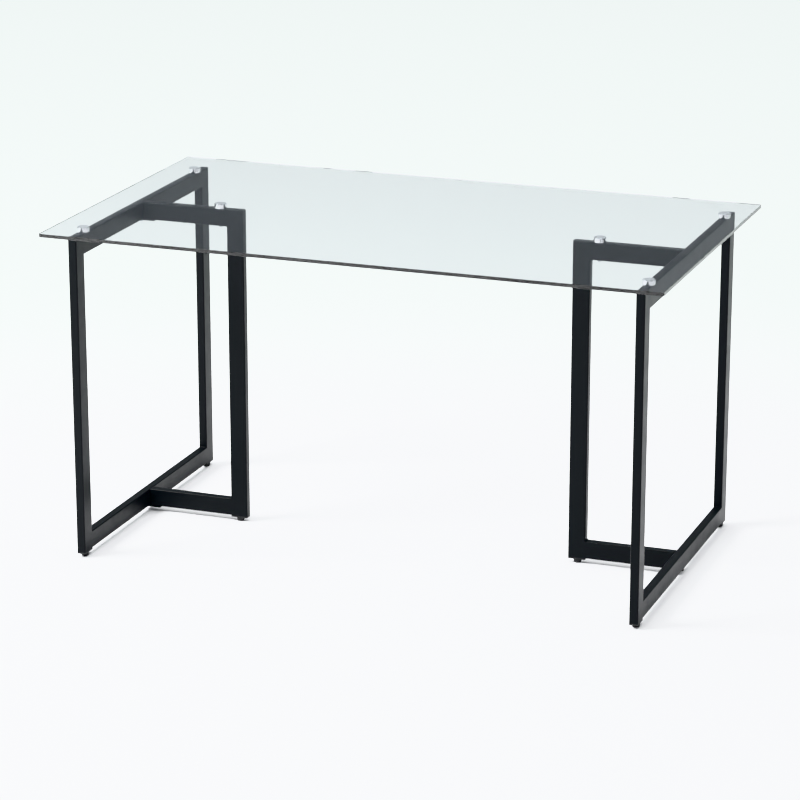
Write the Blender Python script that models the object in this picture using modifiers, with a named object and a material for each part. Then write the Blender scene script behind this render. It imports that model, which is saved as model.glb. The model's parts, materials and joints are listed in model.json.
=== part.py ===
"""Glass-topped desk on two T-plan trestles of rectangular steel tube.

The tempered glass top is bonded to six polished standoffs. Each trestle is a closed end frame with a
C-shaped inner frame bolted to the middle of its rails. Every post ends in a plastic plug that takes a
threaded levelling foot.

Units are metres. X runs along the desk, Y from front to back and Z up. The origin is on the floor, under
the middle of the top. Both trestles are the same: one is the other turned half round about Z.
"""

import math

import bmesh
import bpy
from mathutils import Matrix, Vector

# Glass top
TOP_LENGTH = 1.400
TOP_DEPTH = 0.800
TOP_THICKNESS = 0.008
TOP_CORNER_RADIUS = 0.004
TOP_ARRIS = 0.0008
DESK_HEIGHT = 0.750

# Trestles
END_OVERHANG = 0.050
FRAME_DEPTH = 0.720
ARM_REACH = 0.244
TUBE_WIDE = 0.040
TUBE_NARROW = 0.020
TUBE_WALL = 0.0015
TUBE_CORNER_RADIUS = 0.0025
LEAST_BORE_RADIUS = 0.0002
CORNER_SEGMENTS = 3

# Standoffs between the top rails and the glass
STANDOFF_DIAMETER = 0.028
STANDOFF_HEIGHT = 0.0096
STANDOFF_CHAMFER = 0.0006
STANDOFF_INSET = 0.058
BOND_DIAMETER = 0.026
BOND_THICKNESS = 0.0005

# Screws: M6 with a button head and a hexagon socket
SCREW_DIAMETER = 0.006
SCREW_CHAMFER = 0.0006
HEAD_DIAMETER = 0.0105
HEAD_HEIGHT = 0.0033
HEAD_EDGE = 0.0008
HEAD_CROWN_DIAMETER = 0.0058
SOCKET_ACROSS_FLATS = 0.004
SOCKET_DEPTH = 0.002
STANDOFF_THREAD_DEPTH = 0.007
TAB_SCREW_GRIP = 0.008

# Joining tabs under the arms, and the rivet nuts that they are screwed to
LOWER_TAB_WIDTH = 0.020
UPPER_TAB_WIDTH = 0.0128
TAB_THICKNESS = 0.003
TAB_WELD_LENGTH = 0.025
NUT_BODY_DIAMETER = 0.009
NUT_COLLAR_DIAMETER = 0.012
NUT_COLLAR_HEIGHT = 0.002
NUT_LENGTH = 0.011

# Plugs and levelling feet: M8 studs
PLUG_FLANGE = 0.0032
PLUG_SPIGOT = 0.018
STUD_DIAMETER = 0.008
STUD_LENGTH = 0.022
STUD_CHAMFER = 0.001
FOOT_DIAMETER = 0.018
FOOT_BASE_DIAMETER = 0.0135
FOOT_HEIGHT = 0.009
FOOT_RIM = 0.003
FOOT_CLEARANCE = 0.0005

# Clearances: between pieces that touch or are welded, and round a screw in its hole
GAP = 0.0003
HOLE_CLEARANCE = 0.0003

# How round the pieces are: flats round a turned piece, and steps along an arc
LARGE_STEPS = 32
FOOT_STEPS = 20
SMALL_STEPS = 16
DOME_STEPS = 3
TAB_END_STEPS = 8

# Worked out from the values above
FRAME_FACE = TOP_LENGTH / 2 - END_OVERHANG
RAIL_X = FRAME_FACE - TUBE_NARROW / 2
ARM_START = FRAME_FACE - TUBE_NARROW - ARM_REACH
INNER_POST_X = ARM_START + TUBE_WIDE / 2
UPRIGHT_Y = FRAME_DEPTH / 2 - TUBE_WIDE / 2
RAIL_BASE = FOOT_HEIGHT + FOOT_CLEARANCE + PLUG_FLANGE + GAP
GLASS_BASE = DESK_HEIGHT - TOP_THICKNESS
BOND_BASE = GLASS_BASE - GAP - BOND_THICKNESS
STANDOFF_BASE = BOND_BASE - GAP - STANDOFF_HEIGHT
RAIL_TOP = STANDOFF_BASE - GAP
HOLE_DIAMETER = SCREW_DIAMETER + 2 * HOLE_CLEARANCE
STANDOFF_SCREW_LENGTH = TUBE_WIDE + 2 * GAP + STANDOFF_THREAD_DEPTH - HOLE_CLEARANCE
TAB_SCREW_LENGTH = 2 * GAP + TAB_THICKNESS + TAB_SCREW_GRIP

MODEL = "glass_desk"
CUTTERS = "glass_desk_cutters"


def clear_scene():
    """Removes what the scene holds, and makes the two collections."""
    for obj in list(bpy.data.objects):
        bpy.data.objects.remove(obj)
    for name in (MODEL, CUTTERS):
        collection = bpy.data.collections.new(name)
        bpy.context.scene.collection.children.link(collection)


def material(name, colour, roughness, metallic=0.0, transmission=0.0):
    made = bpy.data.materials.new(name)
    made.use_nodes = True
    shader = made.node_tree.nodes["Principled BSDF"]
    shader.inputs["Base Color"].default_value = (*colour, 1.0)
    shader.inputs["Roughness"].default_value = roughness
    shader.inputs["Metallic"].default_value = metallic
    shader.inputs["Transmission Weight"].default_value = transmission
    made.diffuse_color = (*colour, 1.0)
    return made


def add_piece(name, mesh, finish, parent=None, location=(0, 0, 0), rotation=(0, 0, 0)):
    """A named sub-part that uses the given mesh, placed under its trestle."""
    piece = bpy.data.objects.new(name, mesh)
    piece.location = location
    piece.rotation_euler = rotation
    piece.parent = parent
    if not mesh.materials:
        mesh.materials.append(finish)
    bpy.data.collections[MODEL].objects.link(piece)
    return piece


def add_cutter(name, mesh, parent=None, location=(0, 0, 0), rotation=(0, 0, 0)):
    cutter = bpy.data.objects.new(name, mesh)
    cutter.location = location
    cutter.rotation_euler = rotation
    cutter.parent = parent
    cutter.hide_render = True
    cutter.display_type = "WIRE"
    bpy.data.collections[CUTTERS].objects.link(cutter)
    return cutter


def cut(piece, cutter):
    modifier = piece.modifiers.new(cutter.name, "BOOLEAN")
    modifier.operation = "DIFFERENCE"
    modifier.object = cutter


def final_mesh(obj, name):
    """The mesh of an object with its modifiers applied. The object itself is removed."""
    bpy.context.view_layer.update()
    graph = bpy.context.evaluated_depsgraph_get()
    mesh = bpy.data.meshes.new_from_object(obj.evaluated_get(graph))
    mesh.name = name
    bpy.data.objects.remove(obj)
    return mesh


def rounded_outline(width, height, radius):
    """Points round a rectangle with arc corners, anticlockwise, centred on the origin."""
    points = []
    for turn, (side_x, side_y) in enumerate(((1, 1), (-1, 1), (-1, -1), (1, -1))):
        centre = Vector((side_x * (width / 2 - radius), side_y * (height / 2 - radius)))
        for step in range(CORNER_SEGMENTS + 1):
            angle = math.radians(90 * (turn + step / CORNER_SEGMENTS))
            points.append(centre + radius * Vector((math.cos(angle), math.sin(angle))))
    return points


def prism(name, outlines, length):
    """A mesh extruded along Z from flat outlines. The second outline and later ones are holes."""
    curve = bpy.data.curves.new(name, "CURVE")
    curve.dimensions = "2D"
    curve.fill_mode = "BOTH"
    curve.extrude = length / 2
    for outline in outlines:
        spline = curve.splines.new("POLY")
        spline.points.add(len(outline) - 1)
        for point, place in zip(spline.points, outline):
            point.co = (place.x, place.y, 0.0, 1.0)
        spline.use_cyclic_u = True
    flat = bpy.data.objects.new(name, curve)
    bpy.context.scene.collection.objects.link(flat)
    mesh = final_mesh(flat, name)
    bpy.data.curves.remove(curve)
    mesh.transform(Matrix.Translation((0, 0, length / 2)))
    weld(mesh)
    return mesh


def weld(mesh):
    """Joins the loose caps of a mesh made from a curve."""
    edit = bmesh.new()
    edit.from_mesh(mesh)
    bmesh.ops.remove_doubles(edit, verts=edit.verts, dist=1e-6)
    bmesh.ops.recalc_face_normals(edit, faces=edit.faces)
    edit.to_mesh(mesh)
    edit.free()


def saw(mesh, point, normal):
    """Saws off what lies past a plane, and closes the sawn wall."""
    edit = bmesh.new()
    edit.from_mesh(mesh)
    geometry = [*edit.verts, *edit.edges, *edit.faces]
    result = bmesh.ops.bisect_plane(edit, geom=geometry, plane_co=point, plane_no=normal, clear_outer=True)
    sawn = [item for item in result["geom_cut"] if isinstance(item, bmesh.types.BMEdge)]
    bmesh.ops.triangle_fill(edit, edges=sawn, use_beauty=True, use_dissolve=False)
    bmesh.ops.recalc_face_normals(edit, faces=edit.faces)
    edit.to_mesh(mesh)
    edit.free()


def tube_mesh(name, length, mitre_start=False, mitre_end=False):
    """Rectangular tube from Z = 0 to its length, wide along Y. A mitred end is long on the -Y side."""
    outer = rounded_outline(TUBE_NARROW, TUBE_WIDE, TUBE_CORNER_RADIUS)
    inner_radius = max(TUBE_CORNER_RADIUS - TUBE_WALL, LEAST_BORE_RADIUS)
    inner = rounded_outline(TUBE_NARROW - 2 * TUBE_WALL, TUBE_WIDE - 2 * TUBE_WALL, inner_radius)
    mesh = prism(name, [outer, inner], length)
    setback = GAP / 2 * math.sqrt(2)
    if mitre_start:
        saw(mesh, (0, -TUBE_WIDE / 2, setback), (0, 1, -1))
    if mitre_end:
        saw(mesh, (0, -TUBE_WIDE / 2, length - setback), (0, 1, 1))
    return mesh


def turned_mesh(name, profile, steps, sharp_angle=30):
    """A turned solid. The profile is (radius, height) points that run down the outer side."""
    line = bpy.data.meshes.new(name)
    points = [(radius, 0, height) for radius, height in profile]
    line.from_pydata(points, [(i, i + 1) for i in range(len(points) - 1)], [])
    turned = bpy.data.objects.new(name, line)
    bpy.context.scene.collection.objects.link(turned)
    screw = turned.modifiers.new("turn", "SCREW")
    screw.axis = "Z"
    screw.steps = steps
    screw.render_steps = steps
    screw.use_merge_vertices = True
    screw.merge_threshold = 1e-5
    mesh = final_mesh(turned, name)
    bpy.data.meshes.remove(line)
    mesh.shade_smooth()
    mesh.set_sharp_from_angle(angle=math.radians(sharp_angle))
    return mesh


def rod_mesh(name, diameter, length, sides=LARGE_STEPS):
    """A plain rod from Z = 0 to its length, used to cut round and six-sided holes."""
    mesh = bpy.data.meshes.new(name)
    edit = bmesh.new()
    middle = Matrix.Translation((0, 0, length / 2))
    bmesh.ops.create_cone(edit, cap_ends=True, segments=sides, radius1=diameter / 2,
                          radius2=diameter / 2, depth=length, matrix=middle)
    edit.to_mesh(mesh)
    edit.free()
    return mesh


def make_glass_top(finish):
    outline = rounded_outline(TOP_LENGTH, TOP_DEPTH, TOP_CORNER_RADIUS)
    mesh = prism("glass_top", [outline], TOP_THICKNESS)
    top = add_piece("glass_top", mesh, finish, location=(0, 0, GLASS_BASE))
    arris = top.modifiers.new("polished_arris", "BEVEL")
    arris.width = TOP_ARRIS
    arris.segments = 2
    arris.limit_method = "ANGLE"
    arris.angle_limit = math.radians(60)


def quarter_arc(across, down):
    """(across, down) steps along a quarter ellipse, from its widest point to its lowest."""
    angles = [math.radians(90 * step / DOME_STEPS) for step in range(1, DOME_STEPS + 1)]
    return [(across * math.cos(angle), down * math.sin(angle)) for angle in angles]


def foot_mesh():
    """Nylon glide with its stud, turned about Z and standing on Z = 0."""
    rim, base = FOOT_DIAMETER / 2, FOOT_BASE_DIAMETER / 2
    shoulder = FOOT_HEIGHT - FOOT_RIM
    stud = STUD_DIAMETER / 2
    tip = FOOT_HEIGHT + STUD_LENGTH
    profile = [(0, tip), (stud - STUD_CHAMFER, tip), (stud, tip - STUD_CHAMFER), (stud, FOOT_HEIGHT)]
    profile += [(rim, FOOT_HEIGHT), (rim, shoulder)]
    for across, down in quarter_arc(rim - base, shoulder):
        profile.append((base + across, shoulder - down))
    profile.append((0, 0))
    return turned_mesh("levelling_foot", profile, FOOT_STEPS)


def standoff_mesh():
    """Polished disc with a blind threaded hole in its underside, standing on Z = 0."""
    radius, hole = STANDOFF_DIAMETER / 2, HOLE_DIAMETER / 2
    chamfer, height = STANDOFF_CHAMFER, STANDOFF_HEIGHT
    profile = [
        (0, height),
        (radius - chamfer, height),
        (radius, height - chamfer),
        (radius, chamfer),
        (radius - chamfer, 0),
        (hole, 0),
        (hole, STANDOFF_THREAD_DEPTH),
        (0, STANDOFF_THREAD_DEPTH),
    ]
    return turned_mesh("standoff", profile, LARGE_STEPS)


def bond_mesh():
    radius = BOND_DIAMETER / 2
    profile = [(0, BOND_THICKNESS), (radius, BOND_THICKNESS), (radius, 0), (0, 0)]
    return turned_mesh("bond_pad", profile, LARGE_STEPS)


def screw_mesh(name, length):
    """Button-head screw. Its head's bearing face is at Z = 0 and its shank runs up Z."""
    radius, head, crown = SCREW_DIAMETER / 2, HEAD_DIAMETER / 2, HEAD_CROWN_DIAMETER / 2
    profile = [
        (0, length),
        (radius - SCREW_CHAMFER, length),
        (radius, length - SCREW_CHAMFER),
        (radius, 0),
        (head, 0),
        (head, -HEAD_EDGE),
    ]
    for across, down in quarter_arc(head - crown, HEAD_HEIGHT - HEAD_EDGE):
        profile.append((crown + across, -HEAD_EDGE - down))
    profile.append((0, -HEAD_HEIGHT))
    blank = bpy.data.objects.new(name, turned_mesh(name, profile, SMALL_STEPS))
    bpy.context.scene.collection.objects.link(blank)
    across_corners = SOCKET_ACROSS_FLATS / math.cos(math.radians(30))
    key = rod_mesh(name + "_key", across_corners, 2 * SOCKET_DEPTH, sides=6)
    socket = add_cutter(name + "_socket", key, location=(0, 0, -HEAD_HEIGHT - SOCKET_DEPTH))
    cut(blank, socket)
    mesh = final_mesh(blank, name)
    bpy.data.objects.remove(socket)
    return mesh


def nut_mesh():
    """Flush rivet nut. Its lower face is at Z = 0 and its crimped collar grips the wall from inside."""
    body, collar, bore = NUT_BODY_DIAMETER / 2, NUT_COLLAR_DIAMETER / 2, HOLE_DIAMETER / 2
    collar_base = TUBE_WALL + GAP
    collar_top = collar_base + NUT_COLLAR_HEIGHT
    profile = [
        (bore, NUT_LENGTH),
        (body, NUT_LENGTH),
        (body, collar_top),
        (collar, collar_top),
        (collar, collar_base),
        (body, collar_base),
        (body, 0),
        (bore, 0),
        (bore, NUT_LENGTH),
    ]
    return turned_mesh("rivet_nut", profile, SMALL_STEPS)


def plug_mesh():
    """Plastic end plug, wide along Y: a flange below Z = 0, and a spigot above it for the tube's bore."""
    flange = rounded_outline(TUBE_NARROW, TUBE_WIDE, TUBE_CORNER_RADIUS)
    mesh = prism("end_plug", [flange], PLUG_FLANGE)
    mesh.transform(Matrix.Translation((0, 0, -PLUG_FLANGE)))
    edit = bmesh.new()
    edit.from_mesh(mesh)
    bmesh.ops.dissolve_limit(edit, angle_limit=math.radians(1), verts=edit.verts, edges=edit.edges)
    upper = max(edit.faces, key=lambda face: face.calc_center_median().z)
    bmesh.ops.inset_region(edit, faces=[upper], thickness=TUBE_WALL + GAP, use_even_offset=True)
    raised = bmesh.ops.extrude_face_region(edit, geom=[upper])
    rim = [item for item in raised["geom"] if isinstance(item, bmesh.types.BMVert)]
    bmesh.ops.delete(edit, geom=[upper], context="FACES_ONLY")
    bmesh.ops.translate(edit, verts=rim, vec=(0, 0, PLUG_SPIGOT))
    bmesh.ops.recalc_face_normals(edit, faces=edit.faces)
    edit.to_mesh(mesh)
    edit.free()
    blank = bpy.data.objects.new("end_plug", mesh)
    bpy.context.scene.collection.objects.link(blank)
    length = PLUG_FLANGE + PLUG_SPIGOT
    drill = rod_mesh("stud_hole", STUD_DIAMETER + 2 * HOLE_CLEARANCE, 3 * length)
    bore = add_cutter("stud_hole", drill, location=(0, 0, -PLUG_FLANGE - length))
    cut(blank, bore)
    drilled = final_mesh(blank, "end_plug_drilled")
    bpy.data.objects.remove(bore)
    return drilled


def tab_mesh(name, width):
    """Joining tab from under the arm, at -X, to a round end about the screw on Z. Its top is at Z = 0."""
    radius = width / 2
    weld_end = -TUBE_NARROW / 2 - TAB_WELD_LENGTH
    outline = [Vector((weld_end, radius)), Vector((weld_end, -radius))]
    for step in range(TAB_END_STEPS + 1):
        angle = math.radians(-90 + 180 * step / TAB_END_STEPS)
        outline.append(Vector((radius * math.cos(angle), radius * math.sin(angle))))
    hole = []
    for step in range(SMALL_STEPS):
        angle = 2 * math.pi * step / SMALL_STEPS
        hole.append(HOLE_DIAMETER / 2 * Vector((math.cos(angle), math.sin(angle))))
    mesh = prism(name, [outline, hole], TAB_THICKNESS)
    mesh.transform(Matrix.Translation((0, 0, -TAB_THICKNESS)))
    return mesh


def shared_meshes():
    """The meshes of the pieces that both trestles repeat."""
    post_length = RAIL_TOP - RAIL_BASE
    return {
        "post": tube_mesh("post", post_length, mitre_end=True),
        "standoff": standoff_mesh(),
        "bond": bond_mesh(),
        "standoff_screw": screw_mesh("standoff_screw", STANDOFF_SCREW_LENGTH),
        "tab_screw": screw_mesh("tab_screw", TAB_SCREW_LENGTH),
        "nut": nut_mesh(),
        "upper_tab": tab_mesh("upper_tab", UPPER_TAB_WIDTH),
        "lower_tab": tab_mesh("lower_tab", LOWER_TAB_WIDTH),
        "plug": plug_mesh(),
        "foot": foot_mesh(),
        "screw_drill": rod_mesh("screw_drill", HOLE_DIAMETER, 2 * TUBE_WIDE, SMALL_STEPS),
        "nut_drill": rod_mesh("nut_drill", NUT_BODY_DIAMETER + 2 * GAP, TUBE_WIDE, SMALL_STEPS),
    }


def make_posts(side, trestle, meshes, finishes):
    """Two uprights and the inner post, each with its plug and levelling foot."""
    half_turn = math.pi
    quarter_turn = -math.pi / 2
    posts = {
        side["near"] + "_upright": ((RAIL_X, -UPRIGHT_Y), 0.0),
        side["far"] + "_upright": ((RAIL_X, UPRIGHT_Y), half_turn),
        "inner_post": ((INNER_POST_X, 0.0), quarter_turn),
    }
    for post, ((x, y), turn) in posts.items():
        name = side["name"] + "_" + post
        rotation = (0, 0, turn)
        add_piece(name, meshes["post"], finishes["steel"], trestle, (x, y, RAIL_BASE), rotation)
        plug_place = (x, y, RAIL_BASE - GAP)
        add_piece(name + "_plug", meshes["plug"], finishes["plug"], trestle, plug_place, rotation)
        add_piece(name + "_foot", meshes["foot"], finishes["nylon"], trestle, (x, y, 0))


def make_rails(side, trestle, meshes, finishes):
    """The end frame's top and bottom rails, with holes for the standoff screws and the rivet nuts."""
    along_y = (-math.pi / 2, 0, 0)
    rail_height = {"top": RAIL_TOP - TUBE_WIDE / 2, "bottom": RAIL_BASE + TUBE_WIDE / 2}
    bottom_length = FRAME_DEPTH - 2 * TUBE_WIDE - 2 * GAP
    lengths = {"top": FRAME_DEPTH, "bottom": bottom_length}
    for level, length in lengths.items():
        name = side["name"] + "_end_" + level + "_rail"
        mitred = level == "top"
        mesh = tube_mesh(name, length, mitre_start=mitred, mitre_end=mitred)
        place = (RAIL_X, -length / 2, rail_height[level])
        rail = add_piece(name, mesh, finishes["steel"], trestle, place, along_y)
        underside = rail_height[level] - TUBE_WIDE / 2
        drill_place = (RAIL_X, 0, underside - TUBE_WIDE / 2)
        cut(rail, add_cutter(name + "_nut_hole", meshes["nut_drill"], trestle, drill_place))
        if level == "top":
            for end in (-1, 1):
                screw_place = (RAIL_X, end * standoff_y(), underside - TUBE_WIDE / 2)
                hole = f"{name}_screw_hole_{end:+d}"
                cut(rail, add_cutter(hole, meshes["screw_drill"], trestle, screw_place))


def make_arms(side, trestle, meshes, finishes):
    """The inner frame's top and bottom arms, which butt against the end frame's rails."""
    along_x = (-math.pi / 2, 0, -math.pi / 2)
    arm_end = FRAME_FACE - TUBE_NARROW - GAP
    top_name = side["name"] + "_arm_top"
    top_mesh = tube_mesh(top_name, arm_end - ARM_START, mitre_start=True)
    top_place = (ARM_START, 0, RAIL_TOP - TUBE_WIDE / 2)
    top_arm = add_piece(top_name, top_mesh, finishes["steel"], trestle, top_place, along_x)
    drill_place = (ARM_START + STANDOFF_INSET, 0, RAIL_TOP - 1.5 * TUBE_WIDE)
    cut(top_arm, add_cutter(top_name + "_screw_hole", meshes["screw_drill"], trestle, drill_place))

    bottom_name = side["name"] + "_arm_bottom"
    bottom_start = ARM_START + TUBE_WIDE + GAP
    bottom_mesh = tube_mesh(bottom_name, arm_end - bottom_start)
    bottom_place = (bottom_start, 0, RAIL_BASE + TUBE_WIDE / 2)
    add_piece(bottom_name, bottom_mesh, finishes["steel"], trestle, bottom_place, along_x)


def standoff_y():
    return FRAME_DEPTH / 2 - STANDOFF_INSET


def make_standoffs(side, trestle, meshes, finishes):
    """Three standoffs, each with the screw that holds it down and the pad that bonds it to the glass."""
    places = {
        side["near"]: (RAIL_X, -standoff_y()),
        side["far"]: (RAIL_X, standoff_y()),
        "inner": (ARM_START + STANDOFF_INSET, 0.0),
    }
    for where, (x, y) in places.items():
        name = side["name"] + "_" + where + "_standoff"
        screw_z = RAIL_TOP - TUBE_WIDE - GAP
        add_piece(name, meshes["standoff"], finishes["chrome"], trestle, (x, y, STANDOFF_BASE))
        add_piece(name + "_bond", meshes["bond"], finishes["bond"], trestle, (x, y, BOND_BASE))
        add_piece(name + "_screw", meshes["standoff_screw"], finishes["zinc"], trestle, (x, y, screw_z))


def make_joints(side, trestle, meshes, finishes):
    """The tab, screw and rivet nut that bolt each arm to its rail."""
    undersides = {"upper": RAIL_TOP - TUBE_WIDE, "lower": RAIL_BASE}
    for level, underside in undersides.items():
        name = side["name"] + "_" + level + "_joint"
        tab_top = underside - GAP
        screw_z = tab_top - TAB_THICKNESS - GAP
        add_piece(name + "_tab", meshes[level + "_tab"], finishes["steel"], trestle, (RAIL_X, 0, tab_top))
        add_piece(name + "_screw", meshes["tab_screw"], finishes["zinc"], trestle, (RAIL_X, 0, screw_z))
        add_piece(name + "_nut", meshes["nut"], finishes["zinc"], trestle, (RAIL_X, 0, underside))


def main():
    clear_scene()
    finishes = {
        "glass": material("clear_tempered_glass", (0.80, 0.88, 0.87), 0.02, transmission=1.0),
        "steel": material("black_powder_coated_steel", (0.020, 0.022, 0.024), 0.45),
        "chrome": material("polished_chrome", (0.78, 0.79, 0.80), 0.08, metallic=1.0),
        "zinc": material("zinc_plated_steel", (0.55, 0.56, 0.58), 0.35, metallic=1.0),
        "bond": material("clear_bonding_film", (0.85, 0.88, 0.88), 0.15, transmission=0.9),
        "plug": material("black_polypropylene", (0.018, 0.018, 0.019), 0.55),
        "nylon": material("black_nylon", (0.012, 0.012, 0.013), 0.50),
    }
    make_glass_top(finishes["glass"])
    meshes = shared_meshes()
    sides = (
        {"name": "right", "near": "front", "far": "back", "turn": 0.0},
        {"name": "left", "near": "back", "far": "front", "turn": math.pi},
    )
    for side in sides:
        trestle = bpy.data.objects.new(side["name"] + "_trestle", None)
        trestle.rotation_euler = (0, 0, side["turn"])
        bpy.data.collections[MODEL].objects.link(trestle)
        make_posts(side, trestle, meshes, finishes)
        make_rails(side, trestle, meshes, finishes)
        make_arms(side, trestle, meshes, finishes)
        make_standoffs(side, trestle, meshes, finishes)
        make_joints(side, trestle, meshes, finishes)


main()
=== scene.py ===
"""Glass-topped desk on two black steel trestles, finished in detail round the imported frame.

The frame gives every size and place. Each operator models one kind of piece once, about its own origin,
and copies it to its places. Both trestles are the same: the left one is the right one turned half round
about Z. Units are metres, X runs along the desk, Y from front to back and Z up.
"""

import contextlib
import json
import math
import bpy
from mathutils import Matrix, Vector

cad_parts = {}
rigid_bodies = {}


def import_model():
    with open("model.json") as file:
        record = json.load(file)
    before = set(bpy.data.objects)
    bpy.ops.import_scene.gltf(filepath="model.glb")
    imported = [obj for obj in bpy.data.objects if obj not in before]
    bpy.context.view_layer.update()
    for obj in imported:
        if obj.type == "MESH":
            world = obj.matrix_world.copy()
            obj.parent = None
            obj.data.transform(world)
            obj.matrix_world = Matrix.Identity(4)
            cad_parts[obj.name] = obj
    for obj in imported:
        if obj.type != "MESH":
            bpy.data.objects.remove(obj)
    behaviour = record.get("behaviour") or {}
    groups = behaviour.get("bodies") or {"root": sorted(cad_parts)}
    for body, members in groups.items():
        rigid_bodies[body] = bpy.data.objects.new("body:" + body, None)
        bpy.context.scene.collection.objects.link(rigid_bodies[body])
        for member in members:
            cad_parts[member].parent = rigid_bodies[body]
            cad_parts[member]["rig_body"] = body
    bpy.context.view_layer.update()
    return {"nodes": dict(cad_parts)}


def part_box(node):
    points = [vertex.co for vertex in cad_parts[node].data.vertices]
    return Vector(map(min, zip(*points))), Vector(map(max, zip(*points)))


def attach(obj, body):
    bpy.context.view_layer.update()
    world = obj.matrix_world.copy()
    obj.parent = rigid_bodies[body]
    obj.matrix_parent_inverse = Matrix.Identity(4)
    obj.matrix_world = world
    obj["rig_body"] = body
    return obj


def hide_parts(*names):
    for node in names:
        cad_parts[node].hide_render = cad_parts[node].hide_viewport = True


bl_info = {
    "name": "Glass Desk on Tube Trestles",
    "version": (1, 0, 0),
    "blender": (4, 5, 0),
    "location": "View3D > Sidebar > Desk",
    "description": "Models a glass desk top, its standoffs, two tube trestles and their levelling feet",
    "category": "Add Mesh",
}

import bmesh
import bpy
from bpy.props import FloatProperty, FloatVectorProperty, IntProperty, PointerProperty
from mathutils import Matrix, Vector

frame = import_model()

SIDES = ("right", "left")  # of the desk, where the trestles stand
HALF_TURN = Matrix.Rotation(math.pi, 4, "Z")
NEAR = {"right": "front", "left": "back"}  # the upright that stands in front before the half turn
FAR = {"right": "back", "left": "front"}

TOP_LOW, TOP_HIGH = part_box("glass_top")
RAIL_LOW, RAIL_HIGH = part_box("right_end_top_rail")
POST_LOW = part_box("right_front_upright")[0]
TUBE_WIDE = RAIL_HIGH.z - RAIL_LOW.z
TUBE_NARROW = RAIL_HIGH.x - RAIL_LOW.x
RAIL_X = (RAIL_LOW.x + RAIL_HIGH.x) / 2
RAIL_TOP = RAIL_HIGH.z
RAIL_BASE = POST_LOW.z
FRAME_FRONT = POST_LOW.y
INNER_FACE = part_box("right_inner_post")[0].x
ARM_END = RAIL_LOW.x
STANDOFF_X = sum(corner.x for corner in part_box("right_inner_standoff")) / 2
STANDOFF_Y = sum(corner.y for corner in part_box("right_back_standoff")) / 2
POSTS = ("front_upright", "back_upright", "inner_post")

TOUCH = 0.00002  # left between pieces that touch, so that their surfaces never share a plane
TINY = 0.00005  # less than this is no distance, and a cutter goes past a face by it
SAME_POINT = 0.000001  # vertices nearer than this are merged
CLEARANCE = 0.0003  # round a screw or a stud in its hole, and past its end
FIT = 0.003  # how far a detailed piece may reach past the plain one that it stands for
ALIGNED = 0.99  # the cosine above which a direction counts as along an axis

DISC_FACETS = 72
FILM_FACETS = 64
PAD_FACETS = 48
HEAD_FACETS = 40
HOLE_FACETS = 32
THREAD_FACETS = 24
BEAD_FACETS = 16
TURN_STEPS = 20  # along one turn of a thread
THREAD_LEAD = 1  # turns left plain at each end of a thread
RIDGE_HEIGHT = 1.25  # in thread depths, so that the ridge's root lies inside the core
TRIANGLE_HEIGHT = 1.5  # in radii of the circle round an equilateral triangle
WELD_VALLEY = 0.9  # a weld's radius between its ripples, in legs
PAD_STEPS = 8  # down the round of a foot's pad

FLOOR_RADIUS = 45
FLOOR_FACETS = 128
SIGHT = 200  # how far the camera sees
SENSOR_WIDTH = 36  # in millimetres
POOL_CENTRE = (0.6, -1.6, 0)  # the middle of the white stretch of floor
KEY_PLACE = (-4.2, -2.6, 4.6)
KEY_WIDTH = 2.4
OVERHEAD_PLACE = (0.4, 0.3, 5.5)
OVERHEAD_WIDTH = 4.0
COVE_BASE, COVE_EDGE = 0.05, 0.13  # sines of the elevations where the cove fades into the wall
CEILING_BASE, CEILING_EDGE = 0.42, 0.62  # and where the wall fades into the ceiling


# ---------------------------------------------------------------- sizes and colours


def linear(hex_colour):
    """An sRGB hex colour as linear red, green and blue."""
    channels = [int(hex_colour[i:i + 2], 16) / 255 for i in (0, 2, 4)]
    return tuple(c / 12.92 if c <= 0.04045 else ((c + 0.055) / 1.055) ** 2.4 for c in channels)


def length(name, description, default):
    return FloatProperty(name=name, description=description, default=default, min=0.0, unit="LENGTH",
                         precision=5)


def colour(name, description, default):
    return FloatVectorProperty(name=name, description=description, default=linear(default), min=0.0,
                               max=1.0, size=3, subtype="COLOR")


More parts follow.
